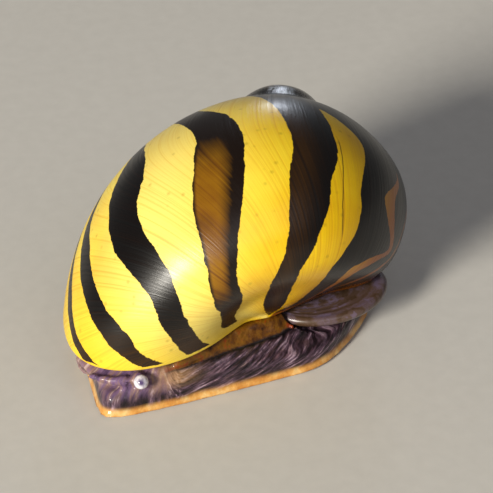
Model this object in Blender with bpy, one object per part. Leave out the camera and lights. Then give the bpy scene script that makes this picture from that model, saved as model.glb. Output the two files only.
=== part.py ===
"""A nerite snail at life size, resting on its foot with the head drawn in under the shell's front edge.

Metres, +Z up. The head points to -Y, the animal's left side is +X, and the sole lies at z = 0.
The shell is a right-handed logarithmic spiral cut by a level plane, which is its aperture.
"""
import math

import bmesh
import bpy
import numpy as np
from mathutils import Matrix, Vector

MM = 0.001
GAP = 0.3 * MM                       # clearance between neighbouring pieces
# Middle of the whole model's base in the frame that the sizes below are given in
BASE_MIDDLE = Vector((0.632 * MM, 1.082 * MM, 0.0))

# Shell: sizes of the whorl's cross-section at the spiral's last growth line
WHORL_GROWTH = 2.70                  # enlargement of the shell in one full turn
WHORL_TO_AXIS = 10.34 * MM           # coil axis to the middle of the section
WHORL_BELOW_APEX = 22.42 * MM        # drop of the section's middle along the axis
WHORL_HALF_WIDTH = 9.92 * MM
WHORL_HALF_HEIGHT = 16.18 * MM
WHORL_SLANT = math.radians(17.6)     # lean of the section's long side
WHORL_SQUARENESS = 1.87              # exponent of the section, 2 is an ellipse
WHORL_TURNS = 4
SPIRAL_END = math.radians(-138.3)    # azimuth of the last growth line about the axis

# Shell: how it is carried
AXIS_ELEVATION = math.radians(28.1)  # coil axis above the ground
AXIS_BEARING = math.radians(161.1)   # its direction over the ground, from +X towards +Y
LIP_HEIGHT = 3.6 * MM                # aperture plane above the ground
LIP_LEVEL = LIP_HEIGHT + 0.05 * MM   # level at which the lip's outline is read
APEX_ABOVE_LIP = 8.69 * MM
APEX = Vector((-9.56 * MM, 7.75 * MM, LIP_HEIGHT + APEX_ABOVE_LIP))

# Shell: the callus and the full base above it, two smooth pads that fill the hollow beside the axis
CALLUS = (Vector((-0.2 * MM, 2.9 * MM, LIP_HEIGHT + 3.7 * MM)), (5.5 * MM, 9.4 * MM, 9.4 * MM))
BASE_PAD = (Vector((1.0 * MM, 2.0 * MM, LIP_HEIGHT + 5.5 * MM)), (7.95 * MM, 9.9 * MM, 6.5 * MM))
PAD_TURN = math.radians(8)

# Shell: gentle departures from the spiral, as seen from the core point:
# bearing from -Y towards +X and elevation in degrees, rise in mm, spread in degrees
SWELLINGS = (
    (237, 37, 0.90, 16),             # spire
    (35, -8, 0.45, 13),              # flare of the lip over the animal's left cheek
    (184, 36, -0.20, 18),            # flatter shoulder behind the spire
    (172, 14, 0.50, 18),             # fuller back
)

# Shell: mesh and pocket
SHELL_AROUND = 64
SHELL_ALONG = 40
SHELL_SMOOTHING = 3                  # rounds that even out the sutures and the last growth line
SHELL_CORE_HEIGHT = 2.6 * MM         # height over the lip of the point the surface is measured from
SHELL_LONGEST = 24.0 * MM            # further out than any point of the surface from the core point
SHELL_STEPS = 96                     # outward steps of the search for the surface
SHELL_HALVINGS = 12                  # halvings that then close in on it
POCKET_DEPTH = 3.0 * MM
POCKET_BELOW = 1.0 * MM              # how far the pocket's cutter reaches under the lip
POCKET_SCALE = 0.90                  # leaves a lip about 1 mm thick
COLUMN_SCALE = 0.80                  # the body's column inside the pocket
DECK_EDGE = 2.6 * MM                 # the flat deck covers the aperture behind this Y

# Foot, in plan about its own middle
FOOT_POINTS = 48
FOOT_MIDDLE = Vector((1.3 * MM, 0.4 * MM, 0.0))
FOOT_HALF_WIDTH = 7.4 * MM
FOOT_HALF_LENGTH = 10.4 * MM
FOOT_FRONT_SQUARENESS = 12.0
FOOT_REAR_SQUARENESS = 1.9
FOOT_HEADING = 0.15                  # sideways lean towards the animal's left for each unit forwards
SOLE_THICKNESS = 0.6 * MM
FOOT_BOTTOM = SOLE_THICKNESS + GAP
FOOT_TOP = 1.7 * MM
COLLAR_BOTTOM = FOOT_TOP + GAP
COLLAR_TOP = LIP_HEIGHT - GAP
FOOT_CUTS = (-2.6 * MM, 4.4 * MM)    # Y of the two cuts between front, middle and rear
# rings from below: height, how far inside the foot's outline, and the furthest reach past the lip
SOLE_RINGS = (
    (0.0, 0.35 * MM, None),
    (0.2 * MM, 0.0, None),
    (0.45 * MM, 0.05 * MM, None),
    (SOLE_THICKNESS, 0.3 * MM, None),
)
FOOT_RINGS = (
    (FOOT_BOTTOM, 0.2 * MM, None),
    (1.15 * MM, 0.2 * MM, 3.2 * MM),
    (1.45 * MM, 0.3 * MM, 2.7 * MM),
    (FOOT_TOP, 0.5 * MM, 2.2 * MM),
)
COLLAR_RINGS = (
    (COLLAR_BOTTOM, 0.55 * MM, 1.6 * MM),
    (2.45 * MM, 0.6 * MM, 1.1 * MM),
    (2.9 * MM, 0.65 * MM, 0.5 * MM),
    (COLLAR_TOP, 0.75 * MM, -0.1 * MM),
)

# Head and snout
HEAD_MIDDLE_X = 5.2 * MM
HEAD_BACK = -4.7 * MM
HEAD_FRONT = -10.5 * MM
SNOUT_CUT = -7.9 * MM
HEAD_BOTTOM = 1.5 * MM
HEAD_TOP = LIP_HEIGHT - GAP
HEAD_POINTS = 28
HEAD_SQUARENESS = 2.6                # exponent of its section, 2 is an ellipse
# share of the way from back to front, half width, rise of the underside, drop of the top, in mm
HEAD_SECTIONS = (
    (0.00, 3.55, 0.10, 0.10),
    (0.05, 3.70, 0.00, 0.00),
    (0.20, 3.75, 0.00, 0.00),
    (0.32, 3.40, 0.00, 0.00),
    (0.41, 3.12, 0.00, 0.00),
    (0.52, 3.15, 0.00, 0.00),
    (0.66, 3.02, 0.02, 0.02),
    (0.78, 2.80, 0.10, 0.05),
    (0.88, 2.45, 0.25, 0.15),
    (0.95, 2.00, 0.42, 0.32),
    (1.00, 1.30, 0.62, 0.58),
)
# the mouth's line to one side of the middle: across, along and up, in mm
MOUTH_LINE = ((0.0, -10.56, 2.32), (1.1, -10.5, 2.29), (1.9, -10.2, 2.2), (2.45, -9.75, 2.08), (2.9, -9.2, 1.95))
MOUTH_RADIUS = 0.16 * MM
LIP_PADS = (                         # middle's height and half sizes, in mm
    (2.62, (1.50, 0.38, 0.28)),
    (2.02, (1.35, 0.36, 0.24)),
)
LIP_PAD_Y = -10.3 * MM
LIP_PAD_AROUND = 20
LIP_PAD_ALONG = 10

# Eyes and feelers
STALK_POINTS = 12
EYE_RADIUS = 0.5 * MM
STALK_RADIUS = 0.5 * MM
STALK_SHARES = (0.9, 1.0, 0.98, 0.9)
FEELER_ROOT_RADIUS = 0.36 * MM
FEELER_TIP_RADIUS = 0.16 * MM
FEELER_PARTING = 1.3 * GAP           # from the root's flat end to the tip's
# paths beside the head's middle: outwards, along and up, in mm
STALK_PATH = ((3.56, -7.1, 2.47), (3.69, -7.09, 2.5), (3.81, -7.07, 2.53), (3.92, -7.05, 2.56))
EYE_PLACE = (4.32, -7.04, 2.6)
EYE_BEHIND = 0.1 * MM                # the eye's flat back, from its middle
EYE_AROUND = 20
EYE_ALONG = 12
FEELER_PATHS = {
    "left": ((3.75, -8.0, 2.5), (3.7, -8.5, 2.55), (3.5, -9.15, 2.6), (3.15, -9.75, 2.65), (2.65, -10.25, 2.65)),
    "right": ((3.75, -8.15, 2.6), (4.4, -8.5, 2.65), (5.4, -8.7, 2.65), (6.4, -8.7, 2.6), (7.3, -8.5, 2.55)),
}

# Operculum
OPERCULUM_LENGTH = 9.0 * MM
OPERCULUM_WIDTH = 5.6 * MM
OPERCULUM_OUTER_SHARE = 0.62         # of the width, on the rounder outer side
OPERCULUM_THICKNESS = 0.75 * MM
OPERCULUM_POINTS = 36
OPERCULUM_MIDDLE = Vector((2.6 * MM, 7.2 * MM, 2.78 * MM))
OPERCULUM_TURN = math.radians(18)    # its long side swings from +Y towards -X
OPERCULUM_TILT = math.radians(3)     # its outer edge dips
# rounded edge from below: height and inset as shares of the thickness
OPERCULUM_EDGE = ((-0.5, 0.62), (-0.44, 0.3), (-0.28, 0.08), (0.0, 0.0), (0.28, 0.08), (0.44, 0.3), (0.5, 0.62))


def clear_scene():
    for old in list(bpy.data.objects):
        bpy.data.objects.remove(old, do_unlink=True)


def material(name, colour, roughness):
    made = bpy.data.materials.new(name)
    made.use_nodes = True
    shader = made.node_tree.nodes["Principled BSDF"]
    shader.inputs["Base Color"].default_value = (*colour, 1.0)
    shader.inputs["Roughness"].default_value = roughness
    shader.inputs["Metallic"].default_value = 0.0
    return made


def add_object(name, bm, finish, sharp=40):
    bmesh.ops.translate(bm, verts=bm.verts, vec=-BASE_MIDDLE)
    bmesh.ops.recalc_face_normals(bm, faces=bm.faces)
    mesh = bpy.data.meshes.new(name)
    bm.to_mesh(mesh)
    bm.free()
    mesh.shade_smooth()
    mesh.set_sharp_from_angle(angle=math.radians(sharp))
    mesh.materials.append(finish)
    made = bpy.data.objects.new(name, mesh)
    bpy.context.collection.objects.link(made)
    return made


def add_cutter(name, bm, finish):
    made = add_object(name, bm, finish)
    made.hide_render = True
    made.display_type = "WIRE"
    return made


def subtract(target, cutter):
    boolean = target.modifiers.new("cut by " + cutter.name, "BOOLEAN")
    boolean.operation = "DIFFERENCE"
    boolean.object = cutter


def compass(bearing, elevation=0.0):
    """Unit vector at a bearing from -Y towards +X and an elevation above the ground."""
    flat = math.cos(elevation)
    return Vector((math.sin(bearing) * flat, -math.cos(bearing) * flat, math.sin(elevation)))


def shell_axes():
    """Columns: the azimuth's zero, the azimuth's quarter turn and the coil axis, in the world."""
    flat = math.cos(AXIS_ELEVATION)
    axis = Vector((flat * math.cos(AXIS_BEARING), flat * math.sin(AXIS_BEARING), math.sin(AXIS_ELEVATION)))
    level = Vector((0, 0, 1)).cross(axis).normalized()
    rise = axis.cross(level)
    return np.array([level, rise, axis]).T


def in_shell(points):
    """True for each world point that lies inside any whorl of the spiral."""
    local = (np.asarray(points) - np.array(APEX)) @ shell_axes()
    radius = np.hypot(local[:, 0], local[:, 1])
    azimuth = np.arctan2(local[:, 1], local[:, 0])
    back = np.mod(azimuth - SPIRAL_END, 2 * math.pi)
    rate = math.log(WHORL_GROWTH) / (2 * math.pi)
    lean, rise = math.cos(WHORL_SLANT), math.sin(WHORL_SLANT)
    inside = np.zeros(len(local), bool)
    for whorl in range(WHORL_TURNS):
        scale = np.exp(-rate * (back + 2 * math.pi * whorl))
        out = radius / scale - WHORL_TO_AXIS
        along = local[:, 2] / scale + WHORL_BELOW_APEX
        wide = np.abs(out * lean + along * rise) / WHORL_HALF_WIDTH
        tall = np.abs(along * lean - out * rise) / WHORL_HALF_HEIGHT
        inside |= wide ** WHORL_SQUARENESS + tall ** WHORL_SQUARENESS <= 1
    turn = np.array(Matrix.Rotation(PAD_TURN, 3, "Z"))
    for middle, half_sizes in (CALLUS, BASE_PAD):
        from_middle = (np.asarray(points) - np.array(middle)) @ turn / half_sizes
        inside |= (from_middle ** 2).sum(axis=1) <= 1
    return inside


def shell_reach(start, directions):
    """Distance from start to the shell's outer surface along each unit direction."""
    directions = np.asarray(directions)
    start = np.array(start)
    near = np.zeros(len(directions))
    step = SHELL_LONGEST / SHELL_STEPS
    for number in range(1, SHELL_STEPS):
        hit = in_shell(start + directions * (step * number))
        near = np.where(hit, step * number, near)
    far = near + step
    for _ in range(SHELL_HALVINGS):
        middle = (near + far) / 2
        hit = in_shell(start + directions * middle[:, None])
        near = np.where(hit, middle, near)
        far = np.where(hit, far, middle)
    return near


def lip_reach(start, bearings):
    """Distance in the aperture plane from start to the lip, for bearings from -Y towards +X."""
    directions = [compass(bearing) for bearing in bearings]
    return shell_reach((start[0], start[1], LIP_LEVEL), directions)


def shell_form(scale=1.0):
    """The shell's closed outer surface as a bmesh, scaled about its core point."""
    core = Vector((0, 0, LIP_HEIGHT + SHELL_CORE_HEIGHT))
    bm = bmesh.new()
    turn = Matrix(shell_axes().tolist()).to_4x4()
    bmesh.ops.create_uvsphere(bm, u_segments=SHELL_AROUND, v_segments=SHELL_ALONG, radius=1.0, matrix=turn)
    directions = np.array([vertex.co.normalized() for vertex in bm.verts])
    reach = shell_reach(core, directions)
    for bearing, elevation, rise, spread in SWELLINGS:
        towards = compass(math.radians(bearing), math.radians(elevation))
        angle = np.degrees(np.arccos(np.clip(directions @ np.array(towards), -1, 1)))
        reach = reach + rise * MM * np.exp(-(angle / spread) ** 2)
    for vertex, direction, distance in zip(bm.verts, directions, reach):
        vertex.co = core + Vector(direction) * distance * scale
    for _ in range(SHELL_SMOOTHING):
        bmesh.ops.smooth_vert(
            bm, verts=bm.verts, factor=0.5, use_axis_x=True, use_axis_y=True, use_axis_z=True
        )
    return bm


def keep_side(bm, point, normal):
    """Cut the form with a plane, drop what the normal points to and close the cut."""
    geometry = bm.verts[:] + bm.edges[:] + bm.faces[:]
    cut = bmesh.ops.bisect_plane(
        bm, geom=geometry, plane_co=point, plane_no=normal, clear_outer=True, dist=1e-7
    )
    edges = [item for item in cut["geom_cut"] if isinstance(item, bmesh.types.BMEdge)]
    bmesh.ops.holes_fill(bm, edges=edges, sides=0)


def make_shell(finish):
    form = shell_form()
    keep_side(form, (0, 0, LIP_HEIGHT), (0, 0, -1))
    shell = add_object("shell", form, finish)
    pocket = shell_form(POCKET_SCALE)
    keep_side(pocket, (0, 0, LIP_HEIGHT + POCKET_DEPTH), (0, 0, 1))
    keep_side(pocket, (0, 0, LIP_HEIGHT - POCKET_BELOW), (0, 0, -1))
    keep_side(pocket, (0, DECK_EDGE, 0), (0, 1, 0))
    subtract(shell, add_cutter("aperture_pocket", pocket, finish))
    return shell


def loft(rings):
    """A closed form through rings of equally many points, made by extruding the first ring's face."""
    bm = bmesh.new()
    place = bm.verts.layers.int.new("place in ring")
    bmesh.ops.create_circle(bm, cap_ends=True, radius=1.0, segments=len(rings[0]))
    for number, vertex in enumerate(bm.verts):
        vertex[place] = number
        vertex.co = rings[0][number]
    end = bm.faces[:][0]
    for number, ring in enumerate(rings[1:]):
        made = bmesh.ops.extrude_face_region(bm, geom=[end])
        if number > 0 and end.is_valid:
            bmesh.ops.delete(bm, geom=[end], context="FACES_ONLY")
        end = [item for item in made["geom"] if isinstance(item, bmesh.types.BMFace)][0]
        for vertex in end.verts:
            vertex.co = ring[vertex[place]]
    return bm


def signed_power(value, exponent):
    return math.copysign(abs(value) ** exponent, value)


def bearings(count):
    return [2 * math.pi * number / count for number in range(count)]


def foot_edge(bearing, inset=0.0):
    """Point of the foot's outline at one bearing from -Y towards +X, moved inwards by inset."""
    forward = (1 + math.cos(bearing)) / 2
    square = FOOT_REAR_SQUARENESS + (FOOT_FRONT_SQUARENESS - FOOT_REAR_SQUARENESS) * forward ** 2
    side = signed_power(math.sin(bearing), 2 / square) * (FOOT_HALF_WIDTH - inset)
    ahead = signed_power(math.cos(bearing), 2 / square) * (FOOT_HALF_LENGTH - inset)
    return FOOT_MIDDLE + Vector((side + FOOT_HEADING * ahead, -ahead, 0))


def foot_ring(height, inset, past_lip):
    """A level ring of the foot, which stops past_lip beyond the shell's lip where that is closer."""
    points = [foot_edge(bearing, inset) - FOOT_MIDDLE for bearing in bearings(FOOT_POINTS)]
    reach = [point.length for point in points]
    if past_lip is not None:
        angles = [math.atan2(point.x, -point.y) for point in points]
        limit = lip_reach(FOOT_MIDDLE, angles) + past_lip
        reach = [min(own, other) for own, other in zip(reach, limit)]
    ring = []
    for point, distance in zip(points, reach):
        place = FOOT_MIDDLE + point.normalized() * distance
        ring.append(Vector((place.x, place.y, height)))
    return ring


def foot_form(rings):
    return loft([foot_ring(*ring) for ring in rings])


def make_sole(finish):
    return add_object("sole", foot_form(SOLE_RINGS), finish)


def make_foot(finish, head_clearance):
    """The foot above the sole, in three lengths parted by thin cuts."""
    front_cut, rear_cut = FOOT_CUTS
    parts = []
    for name, ahead, behind in (
        ("foot_front", None, front_cut - GAP / 2),
        ("foot_middle", front_cut + GAP / 2, rear_cut - GAP / 2),
        ("foot_rear", rear_cut + GAP / 2, None),
    ):
        form = foot_form(FOOT_RINGS)
        if ahead is not None:
            keep_side(form, (0, ahead, 0), (0, -1, 0))
        if behind is not None:
            keep_side(form, (0, behind, 0), (0, 1, 0))
        parts.append(add_object(name, form, finish))
    subtract(parts[0], head_clearance)
    return parts


def make_mantle(finish, operculum_clearance, head_clearance):
    """The collar between foot and shell, with the body's column that rises into the aperture."""
    form = foot_form(COLLAR_RINGS)
    keep_side(form, (0, HEAD_BACK + GAP, 0), (0, -1, 0))
    collar = add_object("mantle", form, finish)
    column = shell_form(COLUMN_SCALE)
    keep_side(column, (0, 0, LIP_HEIGHT + POCKET_DEPTH - GAP), (0, 0, 1))
    keep_side(column, (0, 0, COLLAR_TOP - GAP), (0, 0, -1))
    keep_side(column, (0, DECK_EDGE - GAP, 0), (0, 1, 0))
    keep_side(column, (0, HEAD_BACK + GAP, 0), (0, -1, 0))
    unite(collar, add_cutter("body_column", column, finish))
    subtract(collar, head_clearance)
    subtract(collar, operculum_clearance)
    return collar


def superellipse_ring(middle, half_width, half_height, square, across, upward, count):
    ring = []
    for number in range(count):
        angle = 2 * math.pi * number / count
        side = signed_power(math.cos(angle), 2 / square) * half_width
        rise = signed_power(math.sin(angle), 2 / square) * half_height
        ring.append(Vector(middle) + Vector(across) * side + Vector(upward) * rise)
    return ring


def head_form(grow=0.0):
    """Head and snout as one form from back to front, larger by grow all round."""
    length = HEAD_BACK - HEAD_FRONT
    rings = []
    for share, width, low, high in HEAD_SECTIONS:
        y = HEAD_BACK + grow - (length + 2 * grow) * share
        bottom = HEAD_BOTTOM + low * MM - grow
        top = HEAD_TOP - high * MM + grow
        middle = (HEAD_MIDDLE_X, y, (bottom + top) / 2)
        rings.append(superellipse_ring(
            middle, width * MM + grow, (top - bottom) / 2, HEAD_SQUARENESS, (1, 0, 0), (0, 0, 1), HEAD_POINTS
        ))
    return loft(rings)


def make_head(finish):
    back = head_form()
    keep_side(back, (0, SNOUT_CUT + GAP / 2, 0), (0, -1, 0))
    head = add_object("head", back, finish)
    front = head_form()
    keep_side(front, (0, SNOUT_CUT - GAP / 2, 0), (0, 1, 0))
    snout = add_object("snout", front, finish)
    return head, snout


def stalk(path, radii):
    """A tapered round form along a short path of points."""
    path = [Vector(point) * MM for point in path]
    rings = []
    for number, (point, radius) in enumerate(zip(path, radii)):
        before = path[max(number - 1, 0)]
        after = path[min(number + 1, len(path) - 1)]
        along = (after - before).normalized()
        across = along.cross(Vector((0, 0, 1))).normalized()
        rings.append(superellipse_ring(point, radius, radius, 2.0, across, across.cross(along), STALK_POINTS))
    return loft(rings)


def ellipsoid(middle, half_sizes, around, along):
    bm = bmesh.new()
    place = Matrix.Translation(middle) @ Matrix.Diagonal((*half_sizes, 1.0))
    bmesh.ops.create_uvsphere(bm, u_segments=around, v_segments=along, radius=1.0, matrix=place)
    return bm


def unite(target, other):
    boolean = target.modifiers.new("joined with " + other.name, "BOOLEAN")
    boolean.operation = "UNION"
    boolean.object = other


def make_mouth(snout, finish):
    """Upper and lower lip pads with the mouth's line cut between them."""
    for number, (height, half_sizes) in enumerate(LIP_PADS):
        middle = (HEAD_MIDDLE_X, LIP_PAD_Y, height * MM)
        pad = ellipsoid(middle, [size * MM for size in half_sizes], LIP_PAD_AROUND, LIP_PAD_ALONG)
        unite(snout, add_cutter("lip_pad_%d" % number, pad, finish))
    middle = HEAD_MIDDLE_X / MM
    right = [(middle - x, y, z) for x, y, z in reversed(MOUTH_LINE[1:])]
    left = [(middle + x, y, z) for x, y, z in MOUTH_LINE]
    path = right + left
    subtract(snout, add_cutter("mouth_line", stalk(path, [MOUTH_RADIUS] * len(path)), finish))


def make_feelers(skin, eye_finish):
    """Eye stalks, eyes and the two short, drawn-in tentacles."""
    for side, name in ((1, "left"), (-1, "right")):
        middle = HEAD_MIDDLE_X / MM
        stalk_path = [(middle + side * x, y, z) for x, y, z in STALK_PATH]
        stalk_radii = [STALK_RADIUS * share for share in STALK_SHARES]
        add_object("eye_stalk_" + name, stalk(stalk_path, stalk_radii), skin)
        place = Vector((middle + side * EYE_PLACE[0], EYE_PLACE[1], EYE_PLACE[2])) * MM
        eye = ellipsoid(place, [EYE_RADIUS] * 3, EYE_AROUND, EYE_ALONG)
        keep_side(eye, (place.x - side * EYE_BEHIND, 0, 0), (-side, 0, 0))
        add_object("eye_" + name, eye, eye_finish)
        path = [(middle + side * x, y, z) for x, y, z in FEELER_PATHS[name]]
        steps = len(path) - 1
        radii = [FEELER_ROOT_RADIUS + (FEELER_TIP_RADIUS - FEELER_ROOT_RADIUS) * number / steps
                 for number in range(len(path))]
        half = len(path) // 2
        add_object("tentacle_%s_root" % name, stalk(path[:half + 1], radii[:half + 1]), skin)
        tip = stalk(path[half:], radii[half:])
        along = (Vector(path[half + 1]) - Vector(path[half])).normalized()
        keep_side(tip, Vector(path[half]) * MM + along * FEELER_PARTING, -along)
        add_object("tentacle_%s_tip" % name, tip, skin)


def operculum_form(grow=0.0):
    """Half-moon plate, straight on its inner side, larger by grow all round."""
    rings = []
    for height, inset in OPERCULUM_EDGE:
        ring = []
        for angle in bearings(OPERCULUM_POINTS):
            share = OPERCULUM_OUTER_SHARE if math.cos(angle) > 0 else 1 - OPERCULUM_OUTER_SHARE
            out = OPERCULUM_WIDTH * share
            x = math.cos(angle) * (out - inset * OPERCULUM_THICKNESS + grow)
            y = math.sin(angle) * (OPERCULUM_LENGTH / 2 - inset * OPERCULUM_THICKNESS + grow)
            z = height * (OPERCULUM_THICKNESS + 2 * grow)
            ring.append(Vector((x, y, z)))
        rings.append(ring)
    form = loft(rings)
    turn = Matrix.Rotation(OPERCULUM_TURN, 4, "Z") @ Matrix.Rotation(OPERCULUM_TILT, 4, "Y")
    bmesh.ops.transform(form, matrix=Matrix.Translation(OPERCULUM_MIDDLE) @ turn, verts=form.verts)
    return form


def main():
    clear_scene()
    shell_finish = material("glossy nerite shell", (0.85, 0.60, 0.05), 0.25)
    skin = material("wet grey-purple skin", (0.16, 0.11, 0.12), 0.35)
    sole_finish = material("cream-orange sole", (0.75, 0.45, 0.20), 0.4)
    mantle_finish = material("olive-brown mantle edge", (0.18, 0.10, 0.03), 0.35)
    operculum_finish = material("smooth grey operculum", (0.14, 0.11, 0.12), 0.3)
    eye_finish = material("dark wet eye", (0.02, 0.015, 0.02), 0.1)

    head_clearance = add_cutter("head_clearance", head_form(GAP), skin)
    operculum_clearance = add_cutter("operculum_clearance", operculum_form(GAP), skin)

    make_shell(shell_finish)
    add_object("operculum", operculum_form(), operculum_finish)
    make_mantle(mantle_finish, operculum_clearance, head_clearance)
    make_foot(skin, head_clearance)
    make_sole(sole_finish)
    head, snout = make_head(skin)
    make_mouth(snout, skin)
    make_feelers(skin, eye_finish)


main()
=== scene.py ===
# Nerite snail: glossy banded shell, wet skin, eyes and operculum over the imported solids
import math

import bmesh
import bpy
import numpy as np
from mathutils import Matrix, Vector, noise


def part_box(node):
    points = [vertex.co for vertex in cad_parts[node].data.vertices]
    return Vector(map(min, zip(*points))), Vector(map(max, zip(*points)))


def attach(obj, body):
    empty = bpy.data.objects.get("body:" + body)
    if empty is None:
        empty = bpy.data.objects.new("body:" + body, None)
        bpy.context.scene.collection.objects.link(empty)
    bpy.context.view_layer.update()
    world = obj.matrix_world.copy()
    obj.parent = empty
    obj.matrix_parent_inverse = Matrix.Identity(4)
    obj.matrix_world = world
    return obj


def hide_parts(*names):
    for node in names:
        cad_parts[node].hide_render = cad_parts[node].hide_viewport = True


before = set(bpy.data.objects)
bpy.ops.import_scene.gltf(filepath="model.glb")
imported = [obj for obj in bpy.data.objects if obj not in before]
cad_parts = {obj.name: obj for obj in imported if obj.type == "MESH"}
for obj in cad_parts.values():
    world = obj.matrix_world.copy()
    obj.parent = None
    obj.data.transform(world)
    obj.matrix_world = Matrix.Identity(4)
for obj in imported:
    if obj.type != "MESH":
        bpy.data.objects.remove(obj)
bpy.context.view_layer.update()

mm = 0.001


def linearColour(code):
    parts = [int(code[place:place + 2], 16) / 255 for place in (1, 3, 5)]
    linear = [c / 12.92 if c <= 0.04045 else ((c + 0.055) / 1.055) ** 2.4 for c in parts]
    return (*linear, 1.0)


def addNode(tree, kind, settings=None, sockets=None):
    # a socket takes another node's output, a hex colour or a plain value; a ramp takes its stops
    node = tree.nodes.new(kind)
    for name, value in (settings or {}).items():
        if name == "stops":
            marks = node.color_ramp.elements
            while len(marks) < len(value):
                marks.new(0.5)
            for mark, (place, code) in zip(marks, value):
                mark.position = place
                mark.color = linearColour(code)
        else:
            setattr(node, name, value)
    for name, value in (sockets or {}).items():
        if isinstance(value, bpy.types.NodeSocket):
            tree.links.new(value, node.inputs[name])
        else:
            plain = linearColour(value) if isinstance(value, str) else value
            node.inputs[name].default_value = plain
    return node


def newMaterial(name, finish):
    # finish holds what is the same all over the surface
    made = bpy.data.materials.new(name)
    made.use_nodes = True
    tree = made.node_tree
    tree.nodes.clear()
    shader = addNode(tree, "ShaderNodeBsdfPrincipled", None, finish)
    addNode(tree, "ShaderNodeOutputMaterial", None, {"Surface": shader.outputs["BSDF"]})
    return made, tree, shader


def addPiece(name, mesh, material, slot, *nodes):
    piece = bpy.data.objects.new(name, mesh)
    bpy.context.scene.collection.objects.link(piece)
    mesh.materials.clear()
    mesh.materials.append(material)
    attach(piece, "root")
    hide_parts(*nodes)
    print(name, "has", sum(len(face.vertices) - 2 for face in mesh.polygons), "triangles")
    return piece


def meshFrom(bm, name):
    mesh = bpy.data.meshes.new(name)
    bm.to_mesh(mesh)
    bm.free()
    mesh.shade_smooth()
    return mesh


def smoothMesh(bm, times):
    for _ in range(times):
        bmesh.ops.smooth_vert(
            bm, verts=bm.verts, factor=0.5, use_axis_x=True, use_axis_y=True, use_axis_z=True
        )


def withModifier(mesh, kind, settings):
    holder = bpy.data.objects.new("holder", mesh)
    bpy.context.scene.collection.objects.link(holder)
    modifier = holder.modifiers.new(kind.lower(), kind)
    for name, value in settings.items():
        setattr(modifier, name, value)
    graph = bpy.context.evaluated_depsgraph_get()
    made = bpy.data.meshes.new_from_object(holder.evaluated_get(graph))
    bpy.data.objects.remove(holder, do_unlink=True)
    made.shade_smooth()
    return made


def meshPoints(mesh):
    points = np.empty(len(mesh.vertices) * 3)
    mesh.vertices.foreach_get("co", points)
    return points.reshape(-1, 3) / mm


def setValues(mesh, values):
    for name, numbers in values.items():
        layer = mesh.attributes.new(name, "FLOAT", "POINT")
        layer.data.foreach_set("value", np.ascontiguousarray(numbers, dtype=np.float32))


def ease(values, low, high):
    share = np.clip((values - low) / (high - low), 0, 1)
    return share * share * (3 - 2 * share)


def within(values, begin, end):
    # eases in over the first range and out again over the second
    return ease(values, *begin) * (1 - ease(values, *end))


def hill(values, middle, half):
    return np.exp(-((values - middle) / half) ** 2)


def rumple(points, size, seed):
    # smooth noise from -1 to 1 with waves of about this size in mm
    shift = Vector((seed * 17.3, seed * 5.1, seed * 29.7))
    return np.array([noise.noise(Vector(point) / size + shift) for point in points])


def along(values, stations, numbers, soft):
    # reads a table at these values, its corners rounded over soft to either side
    return sum(np.interp(values + shift, stations, numbers) for shift in (-soft, 0, 0, soft)) / 4


def compass(bearing, elevation=0.0):
    # bearing from -Y towards +X
    turn, rise = math.radians(bearing), math.radians(elevation)
    level = math.cos(rise)
    return np.array([math.sin(turn) * level, -math.cos(turn) * level, math.sin(rise)])


cameraPlan = {
    "lookAt": (-1.660, 1.389, 5.186),  # mm
    "bearing": 80.0,
    "elevation": 31.853,
    "roll": -3.518,
    "distance": 202.42,          # mm
    "view": 9.6675,              # degrees across the picture
}


def addCamera(plan):
    back = Vector(compass(plan["bearing"], plan["elevation"]))
    level = Vector(compass(plan["bearing"] + 90))
    roll = math.radians(plan["roll"])
    right = level * math.cos(roll) + back.cross(level) * math.sin(roll)
    lens = bpy.data.cameras.new("camera")
    lens.sensor_width = 36
    lens.lens = lens.sensor_width / 2 / math.tan(math.radians(plan["view"]) / 2)
    lens.clip_start = 0.01
    lens.dof.use_dof = False
    camera = bpy.data.objects.new("camera", lens)
    place = Vector(plan["lookAt"]) * mm + back * plan["distance"] * mm
    turn = Matrix((right, back.cross(right), back)).transposed().to_4x4()
    camera.matrix_world = Matrix.Translation(place) @ turn
    bpy.context.scene.collection.objects.link(camera)
    bpy.context.scene.camera = camera


addCamera(cameraPlan)
print("camera set")

studio = {
    "floorSide": 2400.0,         # mm
    "air": 0.13,
    "aim": (0, 0, 6),            # mm
    # bearing and elevation in degrees, distance and size in mm, watts, colour
    "lamps": {
        "key": (45.0, 21.0, 900.0, 250.0, 12.2, "#FFF9EC"),
        "fill": (108.0, 44.0, 990.0, 720.0, 1.3, "#F6F4FC"),
        "rim": (253.0, 15.0, 960.0, 130.0, 0.8, "#EAF2FF"),
    },
}


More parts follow.
